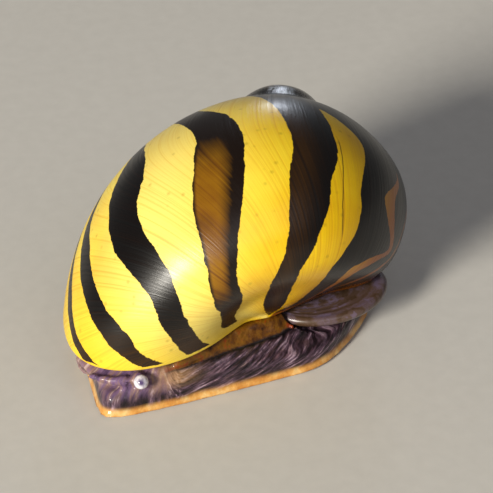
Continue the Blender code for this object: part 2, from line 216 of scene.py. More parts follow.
def addStudio(plan):
    bm = bmesh.new()
    bmesh.ops.create_grid(bm, x_segments=2, y_segments=2, size=plan["floorSide"] / 2 * mm)
    # matt uncoated paper: fine grain that only just shows
    paper, tree, shader = newMaterial("matt uncoated paper", {
        "Roughness": 1.0, "Specular IOR Level": 0.1})
    place = addNode(tree, "ShaderNodeTexCoord").outputs["Object"]
    grain = addNode(tree, "ShaderNodeTexNoise", None, {
        "Vector": place, "Scale": 900.0, "Detail": 3.0})
    tone = addNode(tree, "ShaderNodeValToRGB", {
        "stops": ((0.3, "#CECBC5"), (0.7, "#D2CFC9"))}, {"Fac": grain.outputs["Fac"]})
    tree.links.new(tone.outputs["Color"], shader.inputs["Base Color"])
    floor = bpy.data.objects.new("floor", meshFrom(bm, "floor"))
    floor.data.materials.append(paper)
    bpy.context.scene.collection.objects.link(floor)
    world = bpy.data.worlds.new("studio air")
    world.use_nodes = True
    background = world.node_tree.nodes["Background"].inputs
    background["Color"].default_value = linearColour("#F4F5F7")
    background["Strength"].default_value = plan["air"]
    bpy.context.scene.world = world
    bpy.context.scene.view_settings.view_transform = "Standard"
    for name, (bearing, elevation, distance, size, watts, colour) in plan["lamps"].items():
        lamp = bpy.data.lights.new(name, "AREA")
        lamp.shape = "DISK"
        lamp.energy = watts
        lamp.size = size * mm
        lamp.color = linearColour(colour)[:3]
        towards = Vector(compass(bearing, elevation))
        facing = towards.to_track_quat("Z", "Y").to_matrix().to_4x4()
        holder = bpy.data.objects.new(name, lamp)
        place = (Vector(plan["aim"]) + towards * distance) * mm
        holder.matrix_world = Matrix.Translation(place) @ facing
        bpy.context.scene.collection.objects.link(holder)


addStudio(studio)
print("studio lit")

# the spiral's sizes are the source's own, in mm and degrees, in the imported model's frame
shell = {
    "growth": 2.70,
    "toAxis": 10.34,
    "belowApex": 22.42,
    "halfWidth": 9.92,
    "halfHeight": 16.18,
    "slant": 17.6,
    "squareness": 1.87,
    "whorls": 4,
    "spiralEnd": -138.3,
    "axisElevation": 28.1,
    "axisBearing": 161.1,        # from +X towards +Y
    "apex": (-10.192, 6.668, 12.29),
    "core": (-0.632, -1.082, 6.2),
    "lip": 3.6,
    # two broad forms that fill the shell out: middle and half lengths, turned together
    "pads": (((-0.832, 1.818, 7.3), (5.5, 9.4, 9.4)), ((0.368, 0.918, 9.1), (7.95, 9.9, 6.5))),
    "padTurn": 8.0,
    # gentle departures from the spiral: bearing, elevation, rise and spread
    "swellings": ((237, 37, 0.90, 16), (35, -8, 0.45, 13),
                  (184, 36, -0.20, 18), (172, 14, 0.50, 18)),
    "around": 160,
    "along": 100,
    "smoothing": 19,
    "longest": 24.0,             # further than any point of the surface from the core
    "steps": 96,
    "halvings": 10,
    "rim": 0.22,                 # rounding of the lip's edge
    "rimSteps": 4,
    "wall": 0.90,                # inner wall as a share of the outer reach
    "deck": 1.5,                 # the deck closes the aperture behind this Y
    # rings of the lip's flat and the pocket: share of the way in, extra inset, height over the lip
    "pocketRings": ((0.75, 0.0, 0.0), (0.94, 0.0, 0.06), (1.0, 0.0, 0.3), (1.0, 0.3, 3.0)),
    "lastLine": 0.45,            # half width of the dark edge on the last growth line
    "sutureLine": 0.16,          # and of the suture's dark line
    "groove": 0.10,              # depth of the suture between whorls
    "grooveHalf": 0.34,
    "grooveFrom": (0.5, 1.5),    # mm above the lip over which the groove begins
    "probe": 0.05,               # mm, step by which the suture's distance is measured
    "amberAge": (252.0, 296.0),  # growth angles over which the ground turns amber
    "darkAge": (318.0, 346.0),   # and over which it turns dark
    # painted highlight: the yellow ground is paled where the light falls most on the flank, palest
    # at this growth angle
    "highlightMiddle": 194.0,             # growth angle at which the ground is palest
    "highlightHalf": 26.0,
    "highlightShare": 0.62,
    "warmBand": 243.0,           # growth angle of the browner side of the fifth band
    "warmHalf": 6.0,
    "warmHeight": (0.4, 4.2),    # mm above the lip over which dark bands lose their brown
    "warmShare": 0.58,
    "lineStretch": 110.0,        # growth lines are this much longer than wide
    "crownSlope": 0.15,          # growth lines slant this much less above the crown
    "crownTurn": 9.0,            # degrees of section over which they turn
    "degree": 0.17,              # mm along the middle of the flank for each degree
}


def coilAxes(plan):
    turn, rise = math.radians(plan["axisBearing"]), math.radians(plan["axisElevation"])
    out = math.cos(rise)
    axis = Vector((out * math.cos(turn), out * math.sin(turn), math.sin(rise)))
    level = Vector((0, 0, 1)).cross(axis).normalized()
    return np.array([level, axis.cross(level), axis]).T


def whorlPlaces(plan, points):
    # distance from the coil axis, and each whorl's growth angle, section angle and fullness there
    local = (points - np.array(plan["apex"])) @ coilAxes(plan)
    radius = np.hypot(local[:, 0], local[:, 1])
    turned = np.arctan2(local[:, 1], local[:, 0]) - math.radians(plan["spiralEnd"])
    back = np.mod(turned, 2 * math.pi)
    lean, rise = math.cos(math.radians(plan["slant"])), math.sin(math.radians(plan["slant"]))
    whorls = []
    for number in range(plan["whorls"]):
        grown = back + 2 * math.pi * number
        scale = plan["growth"] ** (-grown / (2 * math.pi))
        out = radius / scale - plan["toAxis"]
        down = local[:, 2] / scale + plan["belowApex"]
        wide = (out * lean + down * rise) / plan["halfWidth"]
        tall = (down * lean - out * rise) / plan["halfHeight"]
        full = np.abs(wide) ** plan["squareness"] + np.abs(tall) ** plan["squareness"]
        whorls.append((grown, np.arctan2(tall, wide), full))
    return radius, whorls


def coilPlace(plan, points):
    # the same for the whorl that lies outermost at each point, angles in degrees
    radius, whorls = whorlPlaces(plan, points)
    which = np.argmin([full for _, _, full in whorls], axis=0)
    pick = np.arange(len(points))
    grown = np.degrees(np.array([angle for angle, _, _ in whorls])[which, pick])
    section = np.degrees(np.array([angle for _, angle, _ in whorls])[which, pick])
    return radius, grown, section


def insideShell(plan, points):
    inside = np.min([full for _, _, full in whorlPlaces(plan, points)[1]], axis=0) <= 1
    turn = np.array(Matrix.Rotation(math.radians(plan["padTurn"]), 3, "Z"))
    for middle, halves in plan["pads"]:
        inside |= ((((points - np.array(middle)) @ turn) / halves) ** 2).sum(axis=1) <= 1
    return inside


def shellReach(plan, directions):
    core = np.array(plan["core"])
    near = np.zeros(len(directions))
    step = plan["longest"] / plan["steps"]
    for number in range(1, plan["steps"]):
        hit = insideShell(plan, core + directions * (step * number))
        near = np.where(hit, step * number, near)
    far = near + step
    for _ in range(plan["halvings"]):
        middle = (near + far) / 2
        hit = insideShell(plan, core + directions * middle[:, None])
        near = np.where(hit, middle, near)
        far = np.where(hit, far, middle)
    for bearing, elevation, rise, spread in plan["swellings"]:
        angle = np.degrees(np.arccos(np.clip(directions @ compass(bearing, elevation), -1, 1)))
        near = near + rise * hill(angle, 0, spread)
    return near


def shellOutside(plan):
    bm = bmesh.new()
    turn = Matrix(coilAxes(plan).tolist()).to_4x4()
    bmesh.ops.create_uvsphere(
        bm, u_segments=plan["around"], v_segments=plan["along"], radius=1.0, matrix=turn
    )
    directions = np.array([vert.co.normalized() for vert in bm.verts])
    places = np.array(plan["core"]) + directions * shellReach(plan, directions)[:, None]
    for vert, place in zip(bm.verts, places):
        vert.co = Vector(place) * mm
    smoothMesh(bm, plan["smoothing"])
    bmesh.ops.bisect_plane(
        bm, geom=bm.verts[:] + bm.edges[:] + bm.faces[:], clear_outer=True, dist=1e-7,
        plane_co=(0, 0, (plan["lip"] + plan["rim"]) * mm), plane_no=(0, 0, -1)
    )
    return bm


def apertureRings(plan):
    # each ring: share of the way from the outer edge to the opening, extra inset, height, inside
    rings = []
    for number in range(1, plan["rimSteps"] + 1):
        angle = math.pi / 2 * number / plan["rimSteps"]
        inset = plan["rim"] * (1 - math.cos(angle))
        rings.append((0.0, inset, plan["lip"] + plan["rim"] * (1 - math.sin(angle)), 0.0))
    for share, inset, height in plan["pocketRings"]:
        rings.append((share, inset, plan["lip"] + height, 1.0))
    return rings


def closeAperture(plan, bm):
    # extrudes the cut edge into the rounded lip, the flat of the lip and deck, and the inner wall
    core = Vector(plan["core"]) * mm
    reachLayer = bm.verts.layers.float.new("outer reach")
    turnLayer = bm.verts.layers.float.new("bearing")
    insideLayer = bm.verts.layers.float.new("inside")
    edges = [edge for edge in bm.edges if edge.is_boundary]
    for vert in {vert for edge in edges for vert in edge.verts}:
        away = Vector((vert.co.x - core.x, vert.co.y - core.y))
        vert[reachLayer] = away.length
        vert[turnLayer] = math.atan2(away.y, away.x)
    for share, inset, height, inside in apertureRings(plan):
        made = bmesh.ops.extrude_edge_only(bm, edges=edges)["geom"]
        edges = [item for item in made if isinstance(item, bmesh.types.BMEdge) and item.is_boundary]
        for vert in [item for item in made if isinstance(item, bmesh.types.BMVert)]:
            towards = Vector((math.cos(vert[turnLayer]), math.sin(vert[turnLayer]), 0))
            outer = vert[reachLayer]
            opening = outer * plan["wall"]
            if towards.y > 0:
                opening = min(opening, (plan["deck"] * mm - core.y) / max(towards.y, 1e-6))
            distance = outer + (opening - outer) * share - inset * mm
            vert.co = Vector((core.x, core.y, height * mm)) + towards * distance
            vert[insideLayer] = inside
    bmesh.ops.holes_fill(bm, edges=edges, sides=0)
    bmesh.ops.triangulate(bm, faces=[face for face in bm.faces if len(face.verts) > 4])


# bands across the whorl: growth angles at which each begins and ends, at these section angles
bandStations = (36, 20, 5, -10, -25, -40, -55, -70, -85, -100, -115, -130, -145, -160)
bands = {
    "thin": ("black", (153, 153, 152, 151, 150, 151, 152, 153, 154, 155, 156, 157, 158, 158),
             (155, 155, 154, 154, 154, 155, 155, 156, 156, 156, 156, 157, 158, 158)),
    "second": ("black", (163, 162, 161, 159, 160, 162, 164, 165, 165, 163, 162, 161, 160, 160),
               (167, 166, 164, 163, 166, 168, 170, 172, 173, 168, 165, 163, 161, 159)),
    "third": ("black", (177, 175, 174, 173, 176, 179, 184, 188, 187, 183, 176, 165, 160, 160),
              (180, 182, 186, 188, 187, 191, 196, 198, 197, 194, 188, 177, 164, 156)),
    "fourth": ("brown", (194, 201, 206, 206, 207, 208, 210, 211, 210, 208, 205, 196, 178, 176),
               (209, 219, 222, 223, 224, 224, 223, 222, 221, 221, 219, 211, 192, 168)),
    "fifth": ("black", (241, 240, 239, 240, 239, 240, 241, 241, 239, 236, 234, 231, 228, 226),
              (266, 261, 258, 258, 255, 256, 254, 253, 250, 250, 251, 254, 258, 262)),
    "seventh": ("black", (264, 271, 274, 271, 269, 271, 271, 269, 267, 269, 273, 276, 280, 284),
                (300, 300, 298, 294, 282, 290, 302, 288, 280, 283, 290, 300, 310, 315)),
    "ninth": ("black", (298, 298, 297, 296, 291, 296, 306, 295, 289, 290, 296, 306, 316, 320),
              (322, 318, 314, 311, 309, 309, 310, 306, 304, 306, 312, 322, 330, 334)),
    "eleventh": ("black", (324, 320, 316, 313, 311, 311, 312, 309, 308, 311, 318, 329, 338, 340),
                 (330, 330, 330, 328, 326, 330, 334, 334, 330, 330, 338, 350, 352, 354)),
}
# the bands lean back between the crown and the suture, as the outer lip does, by these angles
leanStations = (0, 19, 35, 52, 66, 77, 90, 180)
leanAngles = (0, 6, 14, 27, 44, 66, 95, 100)
leanRound = 11.0                 # degrees of section over which their lean is rounded
cornerRound = 4.0                # and over which the corners of the bands' tables are
bandReach = 1.5                  # mm, further than this from a band's edge isn't recorded
noBand = -9.0                    # mm, stands for no band nearby
# the fourth band is clear amber only here: share of its width, and section angles below the crown
amberWide = (0.42, 0.95)
amberTall = ((-125, -80), (-24, 16))
amberMost = 1.0
amberLeast = -0.4
# bands of the earlier whorls, which the photo doesn't show: growth angles, widths, gaps and wave
olderFrom = 346.0
olderTo = 1300.0
olderWidths = (14, 24)
olderGaps = (12, 22)
olderWave = 2.5
# growth lines turn from level at the lip's side to upright at the back: slope at these angles
slopeStations = (150, 165, 190, 215, 240, 270, 400)
slopes = (1.3, 1.3, 1.1, 0.8, 0.48, 0.12, 0.0)
# one healed growth line shows as a dark hairline in a yellow stripe: section and growth angles
hairStations = (-62, -55, -40, -25, -10, 5)
hairline = (265.0, 263.8, 261.5, 260.3, 259.8, 259.4)
hairSpan = ((-64, -52), (-4, 8))  # section angles over which it begins and ends
hairReach = (0.8, 1.2)           # mm from it over which its share ends


def bandDistance(kind, radius, leaning, section):
    # signed distance in mm into the nearest band of this kind, negative outside
    best = np.full(len(radius), noBand)
    for own, starts, ends in bands.values():
        if own == kind:
            start = along(section, bandStations[::-1], starts[::-1], cornerRound)
            end = along(section, bandStations[::-1], ends[::-1], cornerRound)
            best = np.maximum(best, np.radians(np.minimum(leaning - start, end - leaning)) * radius)
    return best


def amberShare(leaning, section):
    # the fourth band turns black on its older side, over the crown and towards the base
    start, end = [np.interp(section, bandStations[::-1], angles[::-1])
                  for angles in bands["fourth"][1:]]
    share = (leaning - start) / np.maximum(end - start, 1)
    clear = (1 - ease(share, *amberWide)) * within(section, *amberTall)
    return clear * (amberMost - amberLeast) + amberLeast


def olderBands(radius, leaning, section):
    # the earlier whorls carry the same rhythm, in seeded widths
    draw = np.random.default_rng(7)
    best = np.full(len(radius), noBand)
    start = olderFrom
    while start < olderTo:
        wide = draw.uniform(*olderWidths)
        wave = olderWave * np.sin(np.radians(section * 2 + start * 3))
        inside = np.minimum(leaning - start - wave, start + wide + wave - leaning)
        best = np.maximum(best, np.radians(inside) * radius)
        start += wide + draw.uniform(*olderGaps)
    return best


def sutureDistance(plan, points):
    # mm from the line where the two outermost whorls meet
    def surplus(at):
        fulls = np.sort([full for _, _, full in whorlPlaces(plan, at)[1]], axis=0)
        return fulls[1] - fulls[0]
    here = surplus(points)
    steps = np.eye(3) * plan["probe"]
    rates = [(surplus(points + step) - here) / plan["probe"] for step in steps]
    return here / np.maximum(np.linalg.norm(rates, axis=0), 1e-3)


def grooveSuture(plan, mesh):
    points = meshPoints(mesh)
    normals = np.array([vert.normal for vert in mesh.vertices])
    depth = plan["groove"] * hill(sutureDistance(plan, points), 0, plan["grooveHalf"])
    depth *= ease(points[:, 2] - plan["lip"], *plan["grooveFrom"])
    points -= normals * depth[:, None]
    mesh.vertices.foreach_set("co", (points * mm).ravel())
    mesh.update()


def dressShell(plan, mesh):
    points = meshPoints(mesh)
    radius, grown, section = coilPlace(plan, points)
    leaning = grown + along(section, leanStations, leanAngles, leanRound)
    slope = np.interp(grown, slopeStations, slopes)
    crown, turn = plan["crownSlope"], plan["crownTurn"]
    bend = crown * section - (1 - crown) * turn * np.logaddexp(0, -section / turn)
    lines = grown + slope * bend
    aboveLip = points[:, 2] - plan["lip"]
    # the last growth line and the suture run dark between the newest whorl and the one before
    fromLip = np.abs(np.where(grown < 180, grown, np.minimum(grown - 360, 0)))
    lastLine = np.where(grown <= 360, plan["lastLine"] - np.radians(fromLip) * radius, noBand)
    suture = plan["sutureLine"] - sutureDistance(plan, points)
    distances = {
        "black": np.max((bandDistance("black", radius, leaning, section),
                         olderBands(radius, leaning, section), lastLine, suture), axis=0),
        "brown": bandDistance("brown", radius, leaning, section),
        "hairline": np.radians(leaning - np.interp(section, hairStations, hairline)) * radius,
    }
    fromHair = np.abs(distances["hairline"])
    warm = np.maximum(1 - ease(aboveLip, *plan["warmHeight"]),
                      hill(leaning, plan["warmBand"], plan["warmHalf"]))
    setValues(mesh, {
        **{kind: np.clip(far, -bandReach, bandReach) for kind, far in distances.items()},
        "hairHere": within(section, *hairSpan) * (1 - ease(fromHair, *hairReach)),
        "aboveLip": aboveLip,
        "lines": lines * plan["degree"],
        "across": section * plan["degree"] / plan["lineStretch"],
        "amber": amberShare(leaning, section),
        "amberAge": ease(grown, *plan["amberAge"]),
        "darkAge": ease(grown, *plan["darkAge"]),
        # painted highlight, laid where the key light falls most on the flank
        "pale": plan["highlightShare"] * hill(grown, plan["highlightMiddle"], plan["highlightHalf"]),
        "warm": plan["warmShare"] * warm,
    })


# each tone follows the growth lines, or clouds of about 6 mm
shellTones = {
    "yellow": ("cloud", ((0.30, "#DFAC00"), (0.50, "#EFC60C"), (0.72, "#F5D72E"))),
    "lineStain": ("growthLine", ((0.30, "#A86A0C"), (0.40, "#EACB7C"), (0.50, "#FFFFFF"))),
    "dark": ("growthLine", ((0.34, "#020101"), (0.55, "#080302"), (0.70, "#180B04"))),
    "warmDark": ("growthLine", ((0.34, "#241202"), (0.66, "#4A2E06"))),
    "amber": ("cloud", ((0.35, "#553202"), (0.52, "#7A4E04"), (0.70, "#94680C"))),
}


def shellMaterial():
    # calcite under a thin polished horny skin: deep clear colour, soft gloss broken by growth lines
    made, tree, shader = newMaterial("calcite shell with polished horny skin", {
        "IOR": 1.45, "Coat Weight": 0.08, "Coat Roughness": 0.16, "Coat IOR": 1.4,
    })
    here = {name: addNode(tree, "ShaderNodeAttribute", {"attribute_name": name}).outputs["Fac"]
            for name in ("black", "brown", "hairline", "hairHere", "amber", "aboveLip", "lines",
                         "across", "amberAge", "darkAge", "pale", "warm", "inside")}
    place = addNode(tree, "ShaderNodeTexCoord").outputs["Object"]
    lineSpace = addNode(tree, "ShaderNodeCombineXYZ", None, {
        "X": here["lines"], "Y": here["across"]}).outputs[0]
    # growth lines about 0.3 mm apart, twice the real spacing, so that they show
    growthLine = addNode(tree, "ShaderNodeTexNoise", None, {
        "Vector": lineSpace, "Scale": 3.6, "Detail": 4.0, "Roughness": 0.62}).outputs["Fac"]
    cloud = addNode(tree, "ShaderNodeTexNoise", None, {
        "Vector": place, "Scale": 170.0, "Detail": 3.0}).outputs["Fac"]
    sources = {"growthLine": growthLine, "cloud": cloud}
    tones = {name: addNode(tree, "ShaderNodeValToRGB", {"stops": stops},
                           {"Fac": sources[kind]}).outputs["Color"]
             for name, (kind, stops) in shellTones.items()}
    # band edges wander by 0.2 mm over about 1.3 mm, with small steps where growth lines cross them
    wander = addNode(tree, "ShaderNodeTexNoise", None, {
        "Vector": place, "Scale": 760.0, "Detail": 5.0, "Roughness": 0.66}).outputs["Fac"]
    wander = addNode(tree, "ShaderNodeMath", {"operation": "MULTIPLY_ADD"},
                     {0: wander, 1: 0.44, 2: -0.30}).outputs[0]
    shift = addNode(tree, "ShaderNodeMath", {"operation": "MULTIPLY_ADD"},
                    {0: growthLine, 1: 0.16, 2: wander}).outputs[0]
    # no band reaches the last 0.28 mm of the lip
    rimFade = addNode(tree, "ShaderNodeMath", {"operation": "SUBTRACT"},
                      {0: here["aboveLip"], 1: 0.28}).outputs[0]
    masks = {}
    for kind in ("black", "brown"):
        kept = addNode(tree, "ShaderNodeMath", {"operation": "MINIMUM"},
                       {0: here[kind], 1: rimFade}).outputs[0]
        moved = addNode(tree, "ShaderNodeMath", {"operation": "ADD"}, {0: kept, 1: shift})
        masks[kind] = addNode(tree, "ShaderNodeMapRange", {"interpolation_type": "SMOOTHSTEP"}, {
            "Value": moved.outputs[0], "From Min": -0.025, "From Max": 0.025}).outputs["Result"]
    # scattered olive specks up to 0.3 mm across
    specks = addNode(tree, "ShaderNodeTexVoronoi", None, {"Vector": place, "Scale": 1000.0})
    specks = addNode(tree, "ShaderNodeMapRange", None, {
        "Value": specks.outputs["Distance"], "From Min": 0.05, "From Max": 0.19,
        "To Min": 0.36, "To Max": 0.0}).outputs["Result"]
    # the hairline is 0.1 mm wide and wanders with the band edges at a quarter of their reach
    nearHair = addNode(tree, "ShaderNodeMath", {"operation": "MULTIPLY_ADD"},
                       {0: shift, 1: 0.25, 2: here["hairline"]})
    nearHair = addNode(tree, "ShaderNodeMath", {"operation": "ABSOLUTE"}, {0: nearHair.outputs[0]})
    onHair = addNode(tree, "ShaderNodeMapRange", None, {
        "Value": nearHair.outputs[0], "From Min": 0.02, "From Max": 0.07,
        "To Min": 0.8, "To Max": 0.0}).outputs["Result"]
    onHair = addNode(tree, "ShaderNodeMath", {"operation": "MULTIPLY"},
                     {0: onHair, 1: here["hairHere"]}).outputs[0]
    dark = addNode(tree, "ShaderNodeMix", {"data_type": "RGBA"},
                   {0: here["warm"], 6: tones["dark"], 7: tones["warmDark"]}).outputs[2]
    # growth lines comb the amber into the black, and the band's own edges are black
    combed = addNode(tree, "ShaderNodeMath", {"operation": "MULTIPLY_ADD"},
                     {0: growthLine, 1: 1.3, 2: -0.65}).outputs[0]
    combed = addNode(tree, "ShaderNodeMath", {"operation": "ADD", "use_clamp": True},
                     {0: combed, 1: here["amber"]}).outputs[0]
    middle = addNode(tree, "ShaderNodeMapRange", {"interpolation_type": "SMOOTHSTEP"}, {
        "Value": here["brown"], "From Min": 0.0, "From Max": 0.3}).outputs["Result"]
    clear = addNode(tree, "ShaderNodeMath", {"operation": "MULTIPLY"}, {0: middle, 1: combed})
    amber = addNode(tree, "ShaderNodeMix", {"data_type": "RGBA", "blend_type": "MULTIPLY"},
                    {0: 0.5, 6: tones["amber"], 7: tones["lineStain"]}).outputs[2]
    amber = addNode(tree, "ShaderNodeMix", {"data_type": "RGBA"},
                    {0: clear.outputs[0], 6: "#140802", 7: amber}).outputs[2]
    # yellow, with a painted highlight that makes it palest on the lit flank, amber towards the back
    # and dark on the worn spire, then the bands
    base = tones["yellow"]
    for share, colour, way in (
        # painted highlight: pale lemon over the lit flank
        (here["pale"], "#F6E88C", "MIX"),
        (specks, "#8A7408", "MIX"),
        (here["amberAge"], "#8A4A06", "MIX"),
        (here["darkAge"], "#241407", "MIX"),
        (0.34, tones["lineStain"], "MULTIPLY"),
        (onHair, "#3E2602", "MIX"),
        (masks["brown"], amber, "MIX"),
        (masks["black"], dark, "MIX"),
        (here["inside"], "#E9DDBE", "MIX"),
    ):
        base = addNode(tree, "ShaderNodeMix", {"data_type": "RGBA", "blend_type": way},
                       {0: share, 6: base, 7: colour}).outputs[2]
    tree.links.new(base, shader.inputs["Base Color"])
    rough = addNode(tree, "ShaderNodeMapRange", None, {
        "Value": growthLine, "From Min": 0.3, "From Max": 0.7, "To Min": 0.42, "To Max": 0.27})
    # the spire is rubbed smoother than the rest
    rubbed = addNode(tree, "ShaderNodeMix", {"data_type": "FLOAT"},
                     {0: here["darkAge"], 2: rough.outputs["Result"], 3: 0.17})
    tree.links.new(rubbed.outputs[0], shader.inputs["Roughness"])
    bump = addNode(tree, "ShaderNodeBump", None,
                   {"Height": growthLine, "Strength": 0.6, "Distance": 0.04 * mm})
    tree.links.new(bump.outputs["Normal"], shader.inputs["Normal"])
    return made


def buildShell(plan):
    bm = shellOutside(plan)
    closeAperture(plan, bm)
    bmesh.ops.recalc_face_normals(bm, faces=bm.faces)
    mesh = withModifier(meshFrom(bm, "shell"), "SUBSURF", {"levels": 1, "render_levels": 1})
    grooveSuture(plan, mesh)
    dressShell(plan, mesh)
    return addPiece("nerite_shell", mesh, shellMaterial(), "shell", "shell")


buildShell(shell)
print("shell built")

skin = {
    "nodes": ("mantle", "foot_front", "foot_middle", "foot_rear", "sole", "head", "snout",
              "eye_stalk_left", "eye_stalk_right", "tentacle_left_root", "tentacle_left_tip",
              "tentacle_right_root", "tentacle_right_tip"),
    "grow": 0.17,                # closes the 0.3 mm gaps while the pieces are fused
    "voxel": 0.125,
    "smoothing": 7,
    "cup": (0.25, 0.56),         # behind each eye: how far back, and radius
    "cheekPads": (((8.05, -8.95, 2.15), 0.5), ((1.1, -8.95, 2.15), 0.5)),
    "padAround": 24,
    "padAlong": 14,
    "middle": (0.67, -0.68),     # of the foot
    "girth": 9.0,                # mean reach of the foot, turns bearings into mm along it
    "headBehind": (-6.6, -5.2),  # Y over which the head's surface turns into the flank's
    "broad": (1.6, 1),           # slow unevenness of the skin: mm, seed
    "patchy": (0.9, 2),          # and quick unevenness
    "slope": 1.8,                # mm down the flank for each mm of height
    "foldSpacing": 0.52,
    "foldLean": 0.45,            # folds climb this much for each mm towards the tail
    "foldWander": 0.9,
    "foldDepth": 0.16,
    "foldSunk": 0.55,            # share of a fold's height below the smooth surface
    "foldPatches": (0.65, 0.6),  # mean depth, and how far it varies from patch to patch
    "foldHeight": ((1.0, 1.5), (2.35, 2.6)),  # over which the folds begin and end
    "creaseSpacing": 0.6,        # upright creases of the head
    "creaseWander": 0.8,
    "creaseDepth": 0.05,
    "creaseSunk": 0.6,
    "creaseHeight": ((0.95, 1.4), (2.9, 3.3)),
    "mouthMiddle": 4.57,
    "faceBefore": (-10.6, -10.0),  # Y over which the front of the head begins
    "faceHalf": (2.4, 3.0),      # distance from its middle over which it ends
    "faceSmooth": 0.7,           # share of the creases that it lacks
    # the mouth's line: distance to one side of the middle, and height
    "mouthAcross": (0.0, 1.1, 1.9, 2.45, 2.9),
    "mouthHeight": (2.34, 2.31, 2.22, 2.10, 1.97),
    "mouthLine": (0.0, 0.13, -0.26),  # above the line, half width, rise
    "lips": ((0.34, 0.20, 0.13), (-0.32, 0.18, 0.10)),
    "rolledEdge": (3.02, 0.24, 0.12),  # of the mantle: height, half width, rise
    "edgeGroove": (2.56, 0.13, -0.16),  # and the groove under it
    "edgeWander": 0.08,
    "edgePatches": 0.5,
    "marginDepth": 0.05,         # low waves on the foot's margin
    "marginHeight": ((0.05, 0.3), (0.6, 0.9)),
    "eyeClear": (0.1, 0.6),      # mm round each eye over which the skin stays smooth
    "lip": 3.6,
    "slit": 0.03,                # left under the lip
    "top": 3.3,                  # the flesh's upper side, which is drawn up to meet the lip
    "drawnFrom": 3.0,
    # where the colours lie, as heights unless said otherwise
    "streakSquash": 0.16,        # streaks are stretched along the folds by its inverse
    "creamWave": 0.10,           # cream margin of the foot: waviness, and where it ends
    "creamTop": (0.46, 0.86),
    "orangeWave": 0.06,          # and its orange lower edge
    "orangeTop": (0.10, 0.30),
    "oliveFrom": (2.5, 2.62),    # the mantle's edge
    "oliveBehind": (-7.4, -5.2),  # Y
    # painted shade: the skin is darkened in folds and creases, darkest this deep
    "foldShadeDepth": 0.13,         # mm below the surface at which the skin is darkest
    "lipsHalf": 0.5,
    "lipsShare": 0.7,
    "soleFacing": (0.6, 0.95),   # how squarely the surface looks down
    "soleTop": (0.3, 0.5),
    "cheekFrom": (1.0, 2.0),
    "tawnyMiddle": -5.7,         # Y of the brown patch behind each eye
    "tawnyHalf": 1.4,
    "tawnyFrom": (1.2, 1.9),
    "tawnyShare": 0.8,
}


def eyePlaces():
    # middle, side and radius of each eye
    places = []
    for name, side in (("eye_left", 1), ("eye_right", -1)):
        low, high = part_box(name)
        outermost = high[0] if side > 0 else low[0]
        radius = (high[1] - low[1]) / 2
        level = ((low[1] + high[1]) / 2, (low[2] + high[2]) / 2)
        places.append((Vector((outermost - side * radius, *level)), side, radius))
    return places


def grownCopy(node, grow):
    bm = bmesh.new()
    bm.from_mesh(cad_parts[node].data)
    bm.transform(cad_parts[node].matrix_world)
    bmesh.ops.remove_doubles(bm, verts=bm.verts, dist=1e-6)
    bm.normal_update()
    moves = [vert.normal * min(vert.calc_shell_factor(), 2.0) * grow for vert in bm.verts]
    for vert, move in zip(bm.verts, moves):
        vert.co += move
    return meshFrom(bm, node + " copy")


def fusedSkin(plan):
    whole = bmesh.new()
    for node in plan["nodes"]:
        copy = grownCopy(node, plan["grow"] * mm)
        whole.from_mesh(copy)
        bpy.data.meshes.remove(copy)
    back, radius = plan["cup"]
    pads = [(place - Vector((side * back * mm, 0, 0)), radius) for place, side, _ in eyePlaces()]
    pads += [(Vector(place) * mm, size) for place, size in plan["cheekPads"]]
    for place, size in pads:
        bmesh.ops.create_uvsphere(
            whole, u_segments=plan["padAround"], v_segments=plan["padAlong"], radius=size * mm,
            matrix=Matrix.Translation(place)
        )
    mesh = withModifier(meshFrom(whole, "skin"), "REMESH", {
        "mode": "VOXEL", "voxel_size": plan["voxel"] * mm})
    bm = bmesh.new()
    bm.from_mesh(mesh)
    smoothMesh(bm, plan["smoothing"])
    bm.normal_update()
    for vert in bm.verts:
        vert.co -= vert.normal * plan["grow"] * mm
    return meshFrom(bm, "skin")


